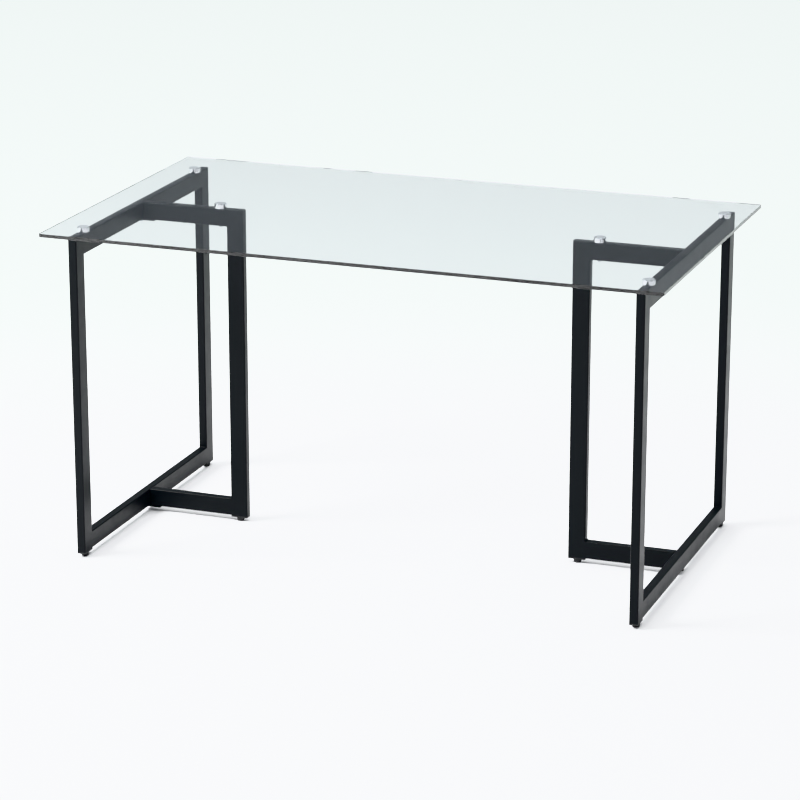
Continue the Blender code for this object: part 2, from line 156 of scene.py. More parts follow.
class DeskSizes(bpy.types.PropertyGroup):
    """Sizes of the details that the frame leaves plain."""

    glass_corner: length("Glass corner", "Radius of the glass top's corners in plan", 0.004)
    glass_arris: length("Glass arris", "Width of the ground bevel along each glass edge", 0.0003)
    tube_corner: length("Tube corner", "Outer corner radius of the rectangular tube", 0.0025)
    tube_wall: length("Tube wall", "Wall of the rectangular tube", 0.0015)
    weld_leg: length("Weld leg", "Leg of the fillet welds in the inside corners", 0.0022)
    weld_ripple: length("Weld ripple", "Distance from one ripple of a weld to the next", 0.0014)
    tab_edge: length("Tab edge", "Rounding of the joining tabs' lower edges", 0.0003)
    nut_hole: length("Nut hole", "Diameter of the holes for the rivet nuts", 0.0096)
    disc_edge: length("Disc edge", "Rounding of the standoff discs' edges", 0.0007)
    film_edge: length("Film edge", "Rounding at the rim of the bonding film", 0.0002)
    thread_depth: length("Thread depth", "Depth of the screws' and studs' threads", 0.0006)
    screw_size: length("Screws", "Outer diameter of the M6 screws' threads", 0.006)
    screw_pitch: length("Screw pitch", "Thread pitch of the M6 screws", 0.001)
    stud_size: length("Studs", "Outer diameter of the M8 levelling studs' threads", 0.008)
    stud_pitch: length("Stud pitch", "Thread pitch of the M8 levelling studs", 0.00125)
    socket: length("Socket", "Hexagon socket across its flats", 0.004)
    socket_depth: length("Socket depth", "Depth of the hexagon socket", 0.002)
    head_edge: length("Head edge", "Height of a screw head's straight rim", 0.0008)
    plug_fin: length("Plug fin", "Thickness of the gripping fins on a plug's spigot", 0.0012)
    plug_fins: IntProperty(name="Plug fins", description="Number of gripping fins on a plug", default=4,
                           min=1, max=8)
    plug_groove: length("Plug groove", "Depth of the grooves between a plug's fins", 0.0012)
    plug_edge: length("Moulded edge", "Rounding of the plugs' and feet's edges", 0.0005)
    foot_height: length("Foot height", "Height of a levelling foot's pad", 0.009)
    foot_base: length("Foot base", "Diameter of a levelling foot where it meets the floor", 0.0135)
    foot_rim: length("Foot rim", "Height of a levelling foot's straight rim", 0.003)


class DeskFinishes(bpy.types.PropertyGroup):
    """Colours of the finishes."""

    powder: colour("Powder coat", "Black polyester powder on the steel tube", "121416")
    glass: colour("Glass body", "Body colour of the float glass, strongest at its edges", "546e8b")
    chrome: colour("Chrome", "Bright chromium plate on the standoffs", "dfe2e5")
    zinc: colour("Zinc", "Clear passivated zinc on the screws and nuts", "b4b9bf")
    film: colour("Bonding film", "Cured acrylic adhesive under the glass", "dde2e4")
    plug: colour("Plug", "Black polypropylene of the end plugs", "121314")
    foot: colour("Foot", "Black nylon of the levelling feet", "0d0e0f")
    floor: colour("Floor", "Painted studio floor round the desk", "f4f5f7")
    backdrop: colour("Backdrop", "Studio floor far behind the desk", "eff6f4")


class DeskStudio(bpy.types.PropertyGroup):
    """The camera and the lights."""

    camera_place: FloatVectorProperty(name="Camera place", description="Where the camera stands",
                                      default=(2.3899, -6.5231, 2.4761), subtype="TRANSLATION")
    camera_turn: FloatProperty(name="Camera turn", description="Camera's turn to the left of the Y axis",
                               default=0.3532, subtype="ANGLE")
    camera_dip: FloatProperty(name="Camera dip", description="Camera's tilt below the horizontal",
                              default=0.2992, subtype="ANGLE")
    camera_lens: FloatProperty(name="Camera lens", description="Focal length for a 36 mm sensor",
                               default=146.33, unit="CAMERA")
    key_power: FloatProperty(name="Key", description="Power of the large softbox at the upper left",
                             default=760, subtype="POWER", unit="POWER")
    top_power: FloatProperty(name="Top", description="Power of the overhead panel", default=110,
                             subtype="POWER", unit="POWER")
    sky: FloatProperty(name="Ceiling", description="Brightness of the studio's white ceiling",
                       default=1.5)
    walls: FloatProperty(name="Walls", description="Brightness of the unlit wall above the backdrop",
                         default=0.24)
    wall_tint: colour("Wall tint", "Paint of the unlit wall", "e8f0f7")
    cove: FloatProperty(name="Cove", description="Brightness of the backdrop where it meets the floor",
                        default=1.16)
    cove_tint: colour("Cove tint", "Paint of the backdrop where it meets the floor", "f3faf9")


# ---------------------------------------------------------------- modelling by hand


def only(piece):
    """Leaves one piece selected and active, in object mode."""
    if bpy.context.mode != "OBJECT":
        bpy.ops.object.mode_set(mode="OBJECT")
    bpy.ops.object.select_all(action="DESELECT")
    piece.select_set(True)
    bpy.context.view_layer.objects.active = piece


def name_new(name):
    """Names the primitive that was just added, and puts its size and place in its mesh."""
    piece = bpy.context.object
    piece.name = piece.data.name = name
    bpy.ops.object.transform_apply(location=True, rotation=True, scale=True)
    return piece


def add_block(name, size, centre):
    bpy.ops.object.select_all(action="DESELECT")
    bpy.ops.mesh.primitive_cube_add(size=1, location=centre, scale=size)
    return name_new(name)


def add_disc(name, radius, low, high, sides, x=0.0):
    """A cylinder up Z from one height to another."""
    bpy.ops.object.select_all(action="DESELECT")
    middle = (x, 0, (low + high) / 2)
    bpy.ops.mesh.primitive_cylinder_add(vertices=sides, radius=radius, depth=high - low, location=middle)
    return name_new(name)


def add_bit(radius, start, end, height):
    """A drill bit along Y, from one place on Y to another."""
    bpy.ops.object.select_all(action="DESELECT")
    middle = (0, (start + end) / 2, height)
    bpy.ops.mesh.primitive_cylinder_add(vertices=HOLE_FACETS, radius=radius, depth=end - start,
                                        location=middle, rotation=(math.pi / 2, 0, 0))
    return name_new("bit")


@contextlib.contextmanager
def editing(piece):
    """Holds a piece in edit mode."""
    only(piece)
    bpy.ops.object.mode_set(mode="EDIT")
    yield
    bpy.ops.object.mode_set(mode="OBJECT")


def choose(piece, kind, test):
    """In edit mode, selects the vertices, edges or faces that pass a test, and stops if none does."""
    bpy.context.tool_settings.mesh_select_mode = [kind == name for name in ("verts", "edges", "faces")]
    bpy.ops.mesh.select_all(action="DESELECT")
    edit = bmesh.from_edit_mesh(piece.data)
    chosen = [item for item in getattr(edit, kind) if test(item)]
    if not chosen:
        raise RuntimeError(f"nothing on {piece.name} matches this step's choice of {kind}")
    for item in chosen:
        item.select_set(True)
    edit.select_flush_mode()
    bmesh.update_edit_mesh(piece.data)


def facing(axis, sign):
    """A test for faces that look along an axis."""
    return lambda face: face.normal[axis] * sign > ALIGNED


def upright(edge):
    """True for an edge that runs along Z."""
    start, end = (vertex.co for vertex in edge.verts)
    return abs(start.z - end.z) > ALIGNED * (start - end).length


def at_height(z):
    """A test for edges that lie at a height."""
    return lambda edge: all(abs(vertex.co.z - z) < TINY for vertex in edge.verts)


def rim_at(z):
    """A test for the edges where the flat at a height meets the side walls."""
    flat = at_height(z)

    def test(edge):
        return flat(edge) and any(abs(face.normal.z) < 0.5 for face in edge.link_faces)

    return test


def extrude(rise, spread=(1.0, 1.0)):
    """Extrudes the selected face along Z, then scales its outline in X and Y."""
    bpy.ops.mesh.extrude_region_move(TRANSFORM_OT_translate={"value": (0, 0, rise)})
    if spread != (1.0, 1.0):
        bpy.ops.transform.resize(value=(*spread, 1), center_override=(0, 0, 0))


def modify(piece, kind, **settings):
    """Adds a modifier with its settings, and applies it."""
    only(piece)
    modifier = piece.modifiers.new(kind.title(), kind)
    for name, value in settings.items():
        setattr(modifier, name, value)
    bpy.ops.object.modifier_apply(modifier=modifier.name)


def carve(piece, cutter):
    """Cuts one mesh out of another, and removes the cutter."""
    modify(piece, "BOOLEAN", operation="DIFFERENCE", solver="EXACT", object=cutter)
    bpy.data.objects.remove(cutter)


def merge(*pieces):
    """Joins meshes into the first of them."""
    bpy.ops.object.select_all(action="DESELECT")
    for piece in pieces:
        piece.select_set(True)
    bpy.context.view_layer.objects.active = pieces[0]
    bpy.ops.object.join()
    return pieces[0]


def clean(piece):
    """Merges doubles, and turns the faces outwards."""
    with editing(piece):
        bpy.ops.mesh.select_all(action="SELECT")
        bpy.ops.mesh.remove_doubles(threshold=SAME_POINT)
        bpy.ops.mesh.normals_make_consistent(inside=False)
    return piece


def smooth(piece, angle=30):
    """Shades the round parts smooth, and keeps the flats flat up to their edges."""
    only(piece)
    bpy.ops.object.shade_smooth_by_angle(angle=math.radians(angle))
    modify(piece, "WEIGHTED_NORMAL", keep_sharp=True, mode="FACE_AREA")
    return piece


def lay_out(piece):
    """Gives a turned piece its own map, in metres: ends by X and Y, walls by the way round and height."""
    layer = piece.data.uv_layers.new(name="turned")
    for face in piece.data.polygons:
        for loop in face.loop_indices:
            point = piece.data.vertices[piece.data.loops[loop].vertex_index].co
            if abs(face.normal.z) > 0.7:
                layer.data[loop].uv = point.xy
            else:
                around = math.atan2(face.center.y, face.center.x)
                offset = math.atan2(point.y, point.x) - around
                turn = around + math.remainder(offset, math.tau)
                layer.data[loop].uv = (turn * point.xy.length, point.z)


def stamp(model, name, matrix):
    """A copy of a model with its own mesh, moved to its place."""
    copy = model.copy()
    copy.data = model.data.copy()
    copy.name = copy.data.name = name
    copy.data.transform(matrix)
    bpy.context.scene.collection.objects.link(copy)
    return copy


def settle(piece, material, slot, *nodes, body="desk"):
    """Gives a finished piece its material, and ties it to the nodes that it stands for. The slot is not
    used.
    """
    piece.data.materials.clear()
    piece.data.materials.append(material)
    if nodes:
        body = frame["nodes"][nodes[0]]["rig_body"]
        low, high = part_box(nodes[0])
        for vertex in piece.data.vertices:
            inside = all(low[i] - FIT < vertex.co[i] < high[i] + FIT for i in range(3))
            if not inside:
                raise RuntimeError(f"{piece.name} reaches past {nodes[0]} at {tuple(vertex.co)}")
        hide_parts(*nodes)
    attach(piece, body)
    return piece


def on_trestle(side, place, turn=None):
    """The matrix that puts a model on a trestle, from its place on the right one."""
    matrix = Matrix.Translation(place) @ (turn or Matrix.Identity(4))
    return HALF_TURN @ matrix if side == "left" else matrix


def place_at(model, name, height, make, slot, node, turn=None):
    """Copies a model to the middle of a node in plan, at a height, and settles it there."""
    low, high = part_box(node)
    place = Matrix.Translation(((low.x + high.x) / 2, (low.y + high.y) / 2, height))
    piece = stamp(model, name, place @ (turn or Matrix.Identity(4)))
    return settle(piece, named_material(make), slot, node)


def put_away(*models):
    """Removes models that have been copied to all their places."""
    for model in models:
        bpy.data.objects.remove(model)


def named_material(make):
    """The material that a function makes, made at its first use."""
    return bpy.data.materials.get(make.__name__) or make()


# ---------------------------------------------------------------- materials


def start_material(name):
    """A new material's node tree, its Principled shader and its object coordinates."""
    material = bpy.data.materials.new(name)
    material.use_nodes = True
    tree = material.node_tree
    shader = tree.nodes["Principled BSDF"]
    place = tree.nodes.new("ShaderNodeTexCoord")
    return material, tree, shader, place


def add(tree, kind, values=None, links=None, **settings):
    """Adds a node with its settings, the values of its sockets and the links into them."""
    node = tree.nodes.new(kind)
    for name, value in settings.items():
        setattr(node, name, value)
    for socket, value in (values or {}).items():
        node.inputs[socket].default_value = value
    for socket, source in (links or {}).items():
        tree.links.new(source, node.inputs[socket])
    return node


def set_shader(tree, shader, values, links=None):
    """Sets the shader's own sockets, and links the patterned ones."""
    for socket, value in values.items():
        shader.inputs[socket].default_value = value
    for socket, source in (links or {}).items():
        tree.links.new(source, shader.inputs[socket])


def per_metre(millimetres):
    """A texture scale whose features are that many millimetres across."""
    return 1000 / millimetres


def wave_scale(millimetres):
    """A wave texture's scale, whose waves are that many millimetres apart."""
    return math.tau / 20 * per_metre(millimetres)


def black_powder_coated_steel():
    """Polyester powder, sprayed and baked. Its orange peel softens reflections to a satin sheen."""
    material, tree, shader, place = start_material("black_powder_coated_steel")
    where = {"Vector": place.outputs["Object"]}
    peel = add(tree, "ShaderNodeTexNoise", {"Scale": per_metre(2.4), "Detail": 2.0}, where)
    cloud = add(tree, "ShaderNodeTexNoise", {"Scale": per_metre(45), "Detail": 3.0}, where)
    gloss = add(tree, "ShaderNodeMapRange",
                {"From Min": 0.3, "From Max": 0.7, "To Min": 0.36, "To Max": 0.43},
                {"Value": cloud.outputs["Fac"]})
    bump = add(tree, "ShaderNodeBump", {"Strength": 0.25, "Distance": 0.00004},
               {"Height": peel.outputs["Fac"]})
    powder = bpy.context.scene.desk_finishes.powder
    set_shader(tree, shader, {"Base Color": (*powder, 1), "IOR": 1.5, "Specular IOR Level": 0.18},
               {"Roughness": gloss.outputs["Result"], "Normal": bump.outputs["Normal"]})
    return material


def tempered_float_glass():
    """Float glass with polished edges, toughened on rollers, whose faint wave bends its reflections.

    The body takes a little of all light, red most. Along the edges, where light has come a long way
    through the sheet, that leaves it dark, and the polish there scatters a trace of light.
    """
    material, tree, shader, place = start_material("tempered_float_glass")
    body = bpy.context.scene.desk_finishes.glass
    roller = add(tree, "ShaderNodeTexWave", {"Scale": wave_scale(220), "Distortion": 1.5, "Detail": 1.0},
                 {"Vector": place.outputs["Object"]}, bands_direction="X")
    bump = add(tree, "ShaderNodeBump", {"Strength": 0.3, "Distance": 0.00005},
               {"Height": roller.outputs["Fac"]})
    slope = add(tree, "ShaderNodeSeparateXYZ", None, {"Vector": place.outputs["Normal"]})
    flat = add(tree, "ShaderNodeMath", None, {0: slope.outputs["Z"]}, operation="ABSOLUTE")
    polish = add(tree, "ShaderNodeMapRange",
                 {"From Min": 0.2, "From Max": 0.95, "To Min": 0.05, "To Max": 0.0},
                 {"Value": flat.outputs["Value"]})
    clarity = add(tree, "ShaderNodeMapRange",
                  {"From Min": 0.1, "From Max": 0.3, "To Min": 0.99, "To Max": 1.0},
                  {"Value": flat.outputs["Value"]})
    set_shader(tree, shader, {"Base Color": (1, 1, 1, 1), "IOR": 1.52},
               {"Roughness": polish.outputs["Result"], "Normal": bump.outputs["Normal"],
                "Transmission Weight": clarity.outputs["Result"]})
    tint = add(tree, "ShaderNodeVolumeAbsorption", {"Color": (*body, 1), "Density": 19.0})
    tree.links.new(tint.outputs["Volume"], tree.nodes["Material Output"].inputs["Volume"])
    return material


def polished_chrome():
    """Chromium plate over turned steel: mirror-bright walls, and a faced end whose rings scatter light."""
    material, tree, shader, place = start_material("polished_chrome")
    chrome = bpy.context.scene.desk_finishes.chrome
    # The rings are further apart than a lathe leaves them, so that they show.
    rings = add(tree, "ShaderNodeTexWave", {"Scale": wave_scale(0.8), "Distortion": 0.4},
                {"Vector": place.outputs["UV"]}, wave_type="RINGS", rings_direction="Z")
    slope = add(tree, "ShaderNodeSeparateXYZ", None, {"Vector": place.outputs["Normal"]})
    faced = add(tree, "ShaderNodeMapRange", {"From Min": 0.9, "From Max": 0.99},
                {"Value": slope.outputs["Z"]})
    roughness = add(tree, "ShaderNodeMapRange", {"To Min": 0.07, "To Max": 0.38},
                    {"Value": faced.outputs["Result"]})
    groove = add(tree, "ShaderNodeMath", None, {0: rings.outputs["Fac"], 1: faced.outputs["Result"]},
                 operation="MULTIPLY")
    bump = add(tree, "ShaderNodeBump", {"Strength": 0.3, "Distance": 0.00003},
               {"Height": groove.outputs["Value"]})
    set_shader(tree, shader, {"Base Color": (*chrome, 1), "Metallic": 1.0},
               {"Roughness": roughness.outputs["Result"], "Normal": bump.outputs["Normal"]})
    return material


def passivated_zinc():
    """Barrel-plated zinc: a soft grey metal with faint clouding from the bath and fine handling marks."""
    material, tree, shader, place = start_material("passivated_zinc")
    where = {"Vector": place.outputs["Object"]}
    cloud = add(tree, "ShaderNodeTexNoise", {"Scale": per_metre(5), "Detail": 3.0}, where)
    marks = add(tree, "ShaderNodeTexNoise", {"Scale": per_metre(0.7), "Detail": 4.0}, where)
    zinc = bpy.context.scene.desk_finishes.zinc
    dull = [channel * 0.78 for channel in zinc]
    shade = add(tree, "ShaderNodeMix", {6: (*zinc, 1), 7: (*dull, 1)}, {0: cloud.outputs["Fac"]},
                data_type="RGBA")
    roughness = add(tree, "ShaderNodeMapRange", {"To Min": 0.26, "To Max": 0.42},
                    {"Value": marks.outputs["Fac"]})
    set_shader(tree, shader, {"Metallic": 1.0},
               {"Base Color": shade.outputs[2], "Roughness": roughness.outputs["Result"]})
    return material


def cured_acrylic_film():
    """Acrylic adhesive cured under ultraviolet light: a clear, slightly milky film with fine bubbles."""
    material, tree, shader, place = start_material("cured_acrylic_film")
    film = bpy.context.scene.desk_finishes.film
    bubbles = add(tree, "ShaderNodeTexVoronoi", {"Scale": per_metre(1.6)},
                  {"Vector": place.outputs["Object"]})
    milk = add(tree, "ShaderNodeMapRange",
               {"From Min": 0.05, "From Max": 0.35, "To Min": 0.6, "To Max": 0.25},
               {"Value": bubbles.outputs["Distance"]})
    set_shader(tree, shader, {"Base Color": (*film, 1), "IOR": 1.49, "Transmission Weight": 0.5},
               {"Roughness": milk.outputs["Result"]})
    return material


def moulded_plastic(name, base, grain, low, high):
    """A moulded plastic: its mould's spark-eroded wall leaves a fine matt grain of that size in mm."""
    material, tree, shader, place = start_material(name)
    where = {"Vector": place.outputs["Object"]}
    # Such a grain is about 0.1 mm across, and is drawn coarser so that it shows.
    pits = add(tree, "ShaderNodeTexVoronoi", {"Scale": per_metre(grain)}, where)
    flow = add(tree, "ShaderNodeTexNoise", {"Scale": per_metre(12), "Detail": 2.0}, where)
    roughness = add(tree, "ShaderNodeMapRange", {"To Min": low, "To Max": high},
                    {"Value": flow.outputs["Fac"]})
    bump = add(tree, "ShaderNodeBump", {"Strength": 0.3, "Distance": 0.00005},
               {"Height": pits.outputs["Distance"]})
    set_shader(tree, shader, {"Base Color": (*base, 1), "IOR": 1.5},
               {"Roughness": roughness.outputs["Result"], "Normal": bump.outputs["Normal"]})
    return material


def black_polypropylene():
    """Moulded polypropylene, waxy and matt."""
    return moulded_plastic("black_polypropylene", bpy.context.scene.desk_finishes.plug, 0.6, 0.48, 0.6)


def black_nylon():
    """Moulded nylon, with a finer grain and a little more gloss."""
    return moulded_plastic("black_nylon", bpy.context.scene.desk_finishes.foot, 0.4, 0.36, 0.5)


def painted_studio_floor():
    """Rolled matt emulsion: white round the desk, a trace cooler far off, and clear from below."""
    material, tree, shader, place = start_material("painted_studio_floor")
    finishes = bpy.context.scene.desk_finishes
    distance = add(tree, "ShaderNodeVectorMath", {1: POOL_CENTRE}, {0: place.outputs["Object"]},
                   operation="DISTANCE")
    far = add(tree, "ShaderNodeMapRange", {"From Min": 2.4, "From Max": 4.2},
              {"Value": distance.outputs["Value"]}, interpolation_type="SMOOTHSTEP")
    shade = add(tree, "ShaderNodeMix", {6: (*finishes.floor, 1), 7: (*finishes.backdrop, 1)},
                {0: far.outputs["Result"]}, data_type="RGBA")
    set_shader(tree, shader, {"Roughness": 0.9, "Specular IOR Level": 0.2},
               {"Base Color": shade.outputs[2]})
    under = add(tree, "ShaderNodeNewGeometry")
    clear = add(tree, "ShaderNodeBsdfTransparent")
    both = add(tree, "ShaderNodeMixShader", None,
               {0: under.outputs["Backfacing"], 1: shader.outputs["BSDF"], 2: clear.outputs["BSDF"]})
    tree.links.new(both.outputs["Shader"], tree.nodes["Material Output"].inputs["Surface"])
    return material


# ---------------------------------------------------------------- models


def screw_bit(along):
    """A bit that drills a screw's hole through both walls of a tube."""
    radius = bpy.context.scene.desk_sizes.screw_size / 2 + CLEARANCE
    return add_bit(radius, -TUBE_WIDE, TUBE_WIDE, along)


def nut_bit(along):
    """A bit that drills a rivet nut's hole through a tube's +Y wall, which is its underside."""
    return add_bit(bpy.context.scene.desk_sizes.nut_hole / 2, 0, TUBE_WIDE, along)


def mitre(tube, corner, way):
    """Saws an end of a tube off at 45 degrees through its -Y edge, and closes the sawn wall."""
    with editing(tube):
        bpy.ops.mesh.select_all(action="SELECT")
        bpy.ops.mesh.bisect(plane_co=(0, -TUBE_WIDE / 2, corner), plane_no=(0, 1, way), use_fill=True,
                            clear_outer=True)


def make_tube(name, run, mitre_start=False, mitre_end=False, bits=()):
    """Rectangular tube up Z from the origin, wide along Y. A mitred end is long on the -Y side."""
    sizes = bpy.context.scene.desk_sizes
    tube = add_block(name, (TUBE_NARROW, TUBE_WIDE, run), (0, 0, run / 2))
    with editing(tube):
        choose(tube, "faces", lambda face: abs(face.normal.z) > ALIGNED)
        bpy.ops.mesh.delete(type="ONLY_FACE")
        choose(tube, "edges", upright)
        bpy.ops.mesh.bevel(offset=sizes.tube_corner, segments=4, affect="EDGES")
    clean(tube)
    modify(tube, "SOLIDIFY", thickness=sizes.tube_wall, offset=-1, use_even_offset=True)
    if mitre_start:
        mitre(tube, 0, -1)
    if mitre_end:
        mitre(tube, run, 1)
    for bit in bits:
        carve(tube, bit)
    return smooth(clean(tube))


def make_bead(name, run):
    """Fillet weld up Z from the origin: a rippled round that tapers at its ends, to bury in a corner."""
    sizes = bpy.context.scene.desk_sizes
    rings = 2 * round(run / sizes.weld_ripple)
    radii = [sizes.weld_leg * (1 if ring % 2 else WELD_VALLEY) for ring in range(rings + 1)]
    radii[0] = radii[-1] = sizes.weld_leg / 2
    bead = add_disc(name, radii[0], 0, run / rings, BEAD_FACETS)
    with editing(bead):
        choose(bead, "faces", facing(2, 1))
        factor = radii[1] / radii[0]
        bpy.ops.transform.resize(value=(factor, factor, 1), center_override=(0, 0, 0))
        for last, radius in zip(radii[1:], radii[2:]):
            extrude(run / rings, (radius / last, radius / last))
    return smooth(clean(bead), angle=60)


def make_thread(name, radius, low, high, pitch):
    """A threaded rod up Z: a chamfered core with one helical ridge."""
    depth = bpy.context.scene.desk_sizes.thread_depth
    core = add_disc(name, radius - depth, low, high, THREAD_FACETS)
    with editing(core):
        choose(core, "edges", rim_at(high))
        bpy.ops.mesh.bevel(offset=depth, segments=1, affect="EDGES")
    flank = depth * RIDGE_HEIGHT / TRIANGLE_HEIGHT
    turns = int((high - low) / pitch) - 2 * THREAD_LEAD
    bpy.ops.object.select_all(action="DESELECT")
    bpy.ops.mesh.primitive_circle_add(vertices=3, radius=flank, rotation=(math.pi / 2, math.pi / 2, 0),
                                      location=(radius - flank, 0, low + THREAD_LEAD * pitch))
    ridge = name_new(name + "_ridge")
    modify(ridge, "SCREW", axis="Z", steps=TURN_STEPS, render_steps=TURN_STEPS, iterations=turns,
           screw_offset=pitch)
    with editing(ridge):
        bpy.ops.mesh.select_all(action="SELECT")
        bpy.ops.mesh.fill_holes(sides=3)
    clean(ridge)
    return merge(core, ridge)


def make_screw(name, run, head_radius, head_height):
    """Button-head screw up Z: its head hangs below the origin, with a hexagon socket in it."""
    sizes = bpy.context.scene.desk_sizes
    head = add_disc(name, head_radius, -head_height, 0, HEAD_FACETS)
    with editing(head):
        choose(head, "edges", rim_at(-head_height))
        bpy.ops.mesh.bevel(offset=head_height - sizes.head_edge, segments=6, affect="EDGES")
    across_corners = sizes.socket / math.cos(math.radians(30))
    socket_floor = sizes.socket_depth - head_height
    key = add_disc(name + "_key", across_corners / 2, -head_height - TINY, socket_floor, 6)
    carve(clean(head), key)
    shank = make_thread(name + "_shank", sizes.screw_size / 2, -sizes.head_edge, run, sizes.screw_pitch)
    return smooth(merge(head, shank))


def make_disc(name, radius, height, hole, hole_depth):
    """Standoff disc up Z from the origin, with rounded edges and a blind hole in its underside."""
    edge = bpy.context.scene.desk_sizes.disc_edge
    disc = add_disc(name, radius, 0, height, DISC_FACETS)
    with editing(disc):
        choose(disc, "edges", lambda item: not upright(item))
        bpy.ops.mesh.bevel(offset=edge, segments=4, affect="EDGES")
        choose(disc, "faces", facing(2, -1))
        bpy.ops.mesh.inset(thickness=radius - edge - hole)
        extrude(hole_depth)
    lay_out(clean(disc))
    return smooth(disc)


def make_film(name, radius, height):
    """Bonding film up Z from the origin, with a slightly rounded rim."""
    edge = bpy.context.scene.desk_sizes.film_edge
    film = add_disc(name, radius, 0, height, FILM_FACETS)
    with editing(film):
        choose(film, "edges", lambda item: not upright(item))
        bpy.ops.mesh.bevel(offset=edge, segments=2, affect="EDGES")
    return smooth(clean(film))


def make_tab(name, low, high):
    """Joining tab: a strip whose +X end is round, with a screw hole at the middle of that round."""
    sizes = bpy.context.scene.desk_sizes
    size = high - low
    tab = add_block(name, size, (low + high) / 2)
    with editing(tab):
        choose(tab, "edges", lambda item: upright(item) and item.verts[0].co.x > high.x - TINY)
        bpy.ops.mesh.bevel(offset=size.y / 2 - TINY, segments=12, affect="EDGES")
        choose(tab, "edges", rim_at(low.z))
        bpy.ops.mesh.bevel(offset=sizes.tab_edge, segments=2, affect="EDGES")
    hole = sizes.screw_size / 2 + CLEARANCE
    middle = high.x - size.y / 2
    bit = add_disc(name + "_bit", hole, low.z - TINY, high.z + TINY, HOLE_FACETS, middle)
    carve(clean(tab), bit)
    return smooth(clean(tab))


def make_plug(name, flange, spigot):
    """End plug: a flange below the origin, a finned spigot above it, and a hole for the stud."""
    sizes = bpy.context.scene.desk_sizes
    wall = sizes.tube_wall + CLEARANCE
    plug = add_block(name, (TUBE_NARROW, TUBE_WIDE, flange), (0, 0, -flange / 2))
    narrow = tuple(1 - 2 * sizes.plug_groove / (wide - 2 * wall) for wide in (TUBE_NARROW, TUBE_WIDE))
    widen = (1 / narrow[0], 1 / narrow[1])
    with editing(plug):
        choose(plug, "edges", upright)
        bpy.ops.mesh.bevel(offset=sizes.tube_corner, segments=4, affect="EDGES")
        choose(plug, "edges", rim_at(-flange))
        bpy.ops.mesh.bevel(offset=sizes.plug_edge, segments=2, affect="EDGES")
        choose(plug, "faces", facing(2, 1))
        bpy.ops.mesh.inset(thickness=wall)
        for fin in range(sizes.plug_fins):
            if fin:
                extrude(0, widen)
            extrude(sizes.plug_fin)
            extrude(0, narrow)
            extrude(spigot / sizes.plug_fins - sizes.plug_fin)
    hole = sizes.stud_size / 2 + CLEARANCE
    carve(clean(plug), add_disc(name + "_bit", hole, -flange - TINY, spigot + TINY, HOLE_FACETS))
    return smooth(clean(plug))


def make_foot(name, radius, height, tip):
    """Levelling foot on the origin: a pad with a straight rim over a quarter-round, and a stud."""
    sizes = bpy.context.scene.desk_sizes
    shoulder = height - sizes.foot_rim
    base = sizes.foot_base / 2
    pad = add_disc(name, radius, shoulder, height, PAD_FACETS)
    with editing(pad):
        choose(pad, "edges", rim_at(height))
        bpy.ops.mesh.bevel(offset=sizes.plug_edge, segments=3, affect="EDGES")
        choose(pad, "faces", facing(2, -1))
        across, level = radius, shoulder
        for step in range(1, PAD_STEPS + 1):
            angle = math.radians(90 * step / PAD_STEPS)
            next_across = base + (radius - base) * math.cos(angle)
            next_level = shoulder * (1 - math.sin(angle))
            extrude(next_level - level, (next_across / across, next_across / across))
            across, level = next_across, next_level
        bpy.ops.mesh.inset(thickness=base / 3)
        extrude(sizes.plug_edge)
    stud = make_thread(name + "_stud", sizes.stud_size / 2, shoulder, tip, sizes.stud_pitch)
    return smooth(merge(clean(pad), stud))


# ---------------------------------------------------------------- operators


class DESK_OT_glass_top(bpy.types.Operator):
    """Tempered glass top with flat polished edges and a ground arris along them"""

    bl_idname = "desk.glass_top"
    bl_label = "Glass Top"

    def execute(self, context):
        sizes = context.scene.desk_sizes
        pane = add_block("glass_pane", TOP_HIGH - TOP_LOW, (TOP_HIGH + TOP_LOW) / 2)
        with editing(pane):
            choose(pane, "edges", upright)
            bpy.ops.mesh.bevel(offset=sizes.glass_corner, segments=8, affect="EDGES")
            choose(pane, "edges", lambda edge: not upright(edge))
            bpy.ops.mesh.bevel(offset=sizes.glass_arris, segments=1, affect="EDGES")
        glass = named_material(tempered_float_glass)
        settle(smooth(clean(pane)), glass, "clear_glass", "glass_top")
        # Clear glass throws no shadow worth the name, so lamps and bounced light pass it.
        pane.visible_shadow = False
        pane.visible_diffuse = False
        return {"FINISHED"}


